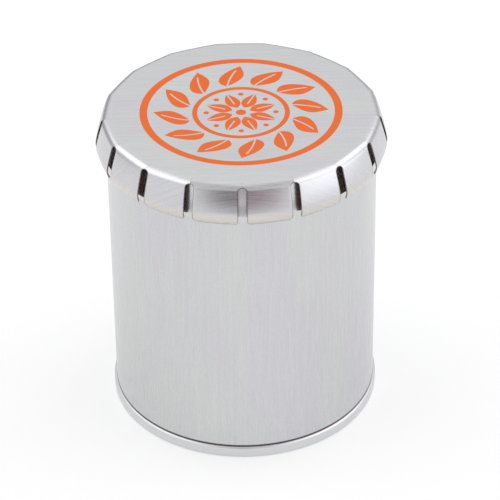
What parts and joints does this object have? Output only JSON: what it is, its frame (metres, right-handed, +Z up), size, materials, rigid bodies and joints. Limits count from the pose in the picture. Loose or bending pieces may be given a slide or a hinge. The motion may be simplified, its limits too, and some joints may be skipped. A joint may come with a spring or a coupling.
{
  "type": "mint tin",
  "caption": "Tall round tinplate tin with a seamed-on bottom and a lift-off click lid, whose sprung claws hook under the mouth bead.",
  "frame": {"origin": "centre of the foot, on the surface the tin stands on", "axes": "+Z up along the tin's axis; -Y towards the front, where one slot between two claws faces the viewer; +X to the viewer's right"},
  "size_m": [0.0536, 0.0536, 0.0609],
  "materials": {
    "wall_tinplate": "satin tinplate, fine upright brushing",
    "end_tinplate": "bright tinplate",
    "lid_tinplate": "satin tinplate, fine straight brushing, printed in one warm orange",
    "claw_tinplate": "satin tinplate, brushing that runs down from the lid"
  },
  "bodies": {
    "tin": {"body_wall": "wall_tinplate", "bottom_end": "end_tinplate"},
    "lid": {"lid_rim_panel": "lid_tinplate", "lid_flex_web": "lid_tinplate"},
    "click_panel": {"lid_click_panel": "lid_tinplate"},
    "claw_01": {"lid_claw_01": "claw_tinplate"},
    "claw_02": {"lid_claw_02": "claw_tinplate"},
    "claw_03": {"lid_claw_03": "claw_tinplate"},
    "claw_04": {"lid_claw_04": "claw_tinplate"},
    "claw_05": {"lid_claw_05": "claw_tinplate"},
    "claw_06": {"lid_claw_06": "claw_tinplate"},
    "claw_07": {"lid_claw_07": "claw_tinplate"},
    "claw_08": {"lid_claw_08": "claw_tinplate"},
    "claw_09": {"lid_claw_09": "claw_tinplate"},
    "claw_10": {"lid_claw_10": "claw_tinplate"},
    "claw_11": {"lid_claw_11": "claw_tinplate"},
    "claw_12": {"lid_claw_12": "claw_tinplate"},
    "claw_13": {"lid_claw_13": "claw_tinplate"},
    "claw_14": {"lid_claw_14": "claw_tinplate"},
    "claw_15": {"lid_claw_15": "claw_tinplate"},
    "claw_16": {"lid_claw_16": "claw_tinplate"},
    "claw_17": {"lid_claw_17": "claw_tinplate"}
  },
  "joints": [
    {"name": "lid_lift", "type": "slide", "parent": "tin", "child": "lid", "axis": [0, 0, 1], "range_m": [0, 0.045]},
    {"name": "lid_click", "type": "slide", "parent": "lid", "child": "click_panel", "axis": [0, 0, 1], "range_m": [0, 0.001], "deforming": ["lid_flex_web"]},
    {"name": "claw_01_fold", "type": "hinge", "parent": "lid", "child": "claw_01", "pos_m": [0.00442, -0.02365, 0.06084], "axis": [0.983, 0.1838, 0], "range_deg": [0, 5.01]},
    {"name": "claw_02_fold", "type": "hinge", "parent": "lid", "child": "claw_02", "pos_m": [0.01267, -0.02046, 0.06084], "axis": [0.8502, 0.5264, 0], "range_deg": [0, 5.01]},
    {"name": "claw_03_fold", "type": "hinge", "parent": "lid", "child": "claw_03", "pos_m": [0.0192, -0.0145, 0.06084], "axis": [0.6026, 0.798, 0], "range_deg": [0, 5.01]},
    {"name": "claw_04_fold", "type": "hinge", "parent": "lid", "child": "claw_04", "pos_m": [0.02314, -0.00658, 0.06084], "axis": [0.2737, 0.9618, 0], "range_deg": [0, 5.01]},
    {"name": "claw_05_fold", "type": "hinge", "parent": "lid", "child": "claw_05", "pos_m": [0.02396, 0.00222, 0.06084], "axis": [-0.0923, 0.9957, 0], "range_deg": [0, 5.01]},
    {"name": "claw_06_fold", "type": "hinge", "parent": "lid", "child": "claw_06", "pos_m": [0.02154, 0.01073, 0.06084], "axis": [-0.4457, 0.8952, 0], "range_deg": [0, 5.01]},
    {"name": "claw_07_fold", "type": "hinge", "parent": "lid", "child": "claw_07", "pos_m": [0.01621, 0.01778, 0.06084], "axis": [-0.739, 0.6737, 0], "range_deg": [0, 5.01]},
    {"name": "claw_08_fold", "type": "hinge", "parent": "lid", "child": "claw_08", "pos_m": [0.00869, 0.02244, 0.06084], "axis": [-0.9325, 0.3612, 0], "range_deg": [0, 5.01]},
    {"name": "claw_09_fold", "type": "hinge", "parent": "lid", "child": "claw_09", "pos_m": [0, 0.02406, 0.06084], "axis": [-1, 0, 0], "range_deg": [0, 5.01]},
    {"name": "claw_10_fold", "type": "hinge", "parent": "lid", "child": "claw_10", "pos_m": [-0.00869, 0.02244, 0.06084], "axis": [-0.9325, -0.3612, 0], "range_deg": [0, 5.01]},
    {"name": "claw_11_fold", "type": "hinge", "parent": "lid", "child": "claw_11", "pos_m": [-0.01621, 0.01778, 0.06084], "axis": [-0.739, -0.6737, 0], "range_deg": [0, 5.01]},
    {"name": "claw_12_fold", "type": "hinge", "parent": "lid", "child": "claw_12", "pos_m": [-0.02154, 0.01073, 0.06084], "axis": [-0.4457, -0.8952, 0], "range_deg": [0, 5.01]},
    {"name": "claw_13_fold", "type": "hinge", "parent": "lid", "child": "claw_13", "pos_m": [-0.02396, 0.00222, 0.06084], "axis": [-0.0923, -0.9957, 0], "range_deg": [0, 5.01]},
    {"name": "claw_14_fold", "type": "hinge", "parent": "lid", "child": "claw_14", "pos_m": [-0.02314, -0.00658, 0.06084], "axis": [0.2737, -0.9618, 0], "range_deg": [0, 5.01]},
    {"name": "claw_15_fold", "type": "hinge", "parent": "lid", "child": "claw_15", "pos_m": [-0.0192, -0.0145, 0.06084], "axis": [0.6026, -0.798, 0], "range_deg": [0, 5.01]},
    {"name": "claw_16_fold", "type": "hinge", "parent": "lid", "child": "claw_16", "pos_m": [-0.01267, -0.02046, 0.06084], "axis": [0.8502, -0.5264, 0], "range_deg": [0, 5.01]},
    {"name": "claw_17_fold", "type": "hinge", "parent": "lid", "child": "claw_17", "pos_m": [-0.00442, -0.02365, 0.06084], "axis": [0.983, -0.1838, 0], "range_deg": [0, 5.01]}
  ],
  "couplings": [
    {"joint": "claw_01_fold", "follows": "lid_click", "rad_per_m": 87.266},
    {"joint": "claw_02_fold", "follows": "lid_click", "rad_per_m": 87.266},
    {"joint": "claw_03_fold", "follows": "lid_click", "rad_per_m": 87.266},
    {"joint": "claw_04_fold", "follows": "lid_click", "rad_per_m": 87.266},
    {"joint": "claw_05_fold", "follows": "lid_click", "rad_per_m": 87.266},
    {"joint": "claw_06_fold", "follows": "lid_click", "rad_per_m": 87.266},
    {"joint": "claw_07_fold", "follows": "lid_click", "rad_per_m": 87.266},
    {"joint": "claw_08_fold", "follows": "lid_click", "rad_per_m": 87.266},
    {"joint": "claw_09_fold", "follows": "lid_click", "rad_per_m": 87.266},
    {"joint": "claw_10_fold", "follows": "lid_click", "rad_per_m": 87.266},
    {"joint": "claw_11_fold", "follows": "lid_click", "rad_per_m": 87.266},
    {"joint": "claw_12_fold", "follows": "lid_click", "rad_per_m": 87.266},
    {"joint": "claw_13_fold", "follows": "lid_click", "rad_per_m": 87.266},
    {"joint": "claw_14_fold", "follows": "lid_click", "rad_per_m": 87.266},
    {"joint": "claw_15_fold", "follows": "lid_click", "rad_per_m": 87.266},
    {"joint": "claw_16_fold", "follows": "lid_click", "rad_per_m": 87.266},
    {"joint": "claw_17_fold", "follows": "lid_click", "rad_per_m": 87.266}
  ]
}
